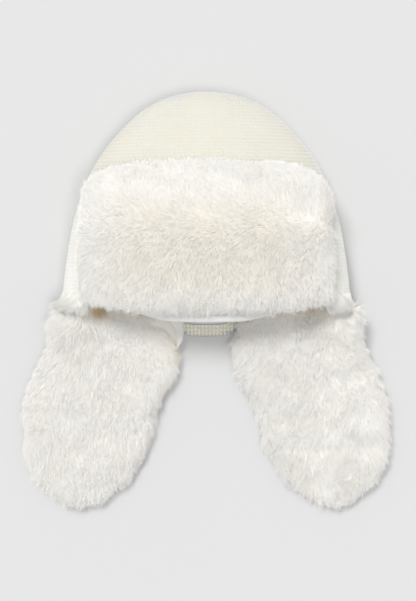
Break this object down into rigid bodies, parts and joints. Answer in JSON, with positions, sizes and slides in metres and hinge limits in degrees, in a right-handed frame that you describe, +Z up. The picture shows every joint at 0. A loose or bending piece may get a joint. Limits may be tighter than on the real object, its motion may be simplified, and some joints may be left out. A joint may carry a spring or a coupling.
{
  "type": "knitted aviator hat",
  "caption": "Cream knitted winter hat with a turned-up fur front and fur-faced ear flaps, lying on its back and open for a head.",
  "frame": {"origin": "on the surface that the hat lies on, below the middle of its bounding box", "axes": "+X across the hat to the wearer's left, +Y from the ear flaps' tips to the top of the crown, +Z up, the way that the front flap faces"},
  "size_m": [0.3302, 0.371, 0.0969],
  "materials": {
    "cream_knit": "soft ribbed yarn, matt",
    "smooth_lining": "smooth woven lining, slight sheen",
    "white_fur": "short dense imitation fur, soft sheen"
  },
  "bodies": {
    "root": {"crown_knit": "cream_knit", "lining": "smooth_lining", "fold_band": "smooth_lining", "front_flap_fur": "white_fur", "ear_knit_right": "cream_knit", "ear_knit_left": "cream_knit", "ear_fur_right": "white_fur", "ear_fur_left": "white_fur"}
  },
  "joints": []
}
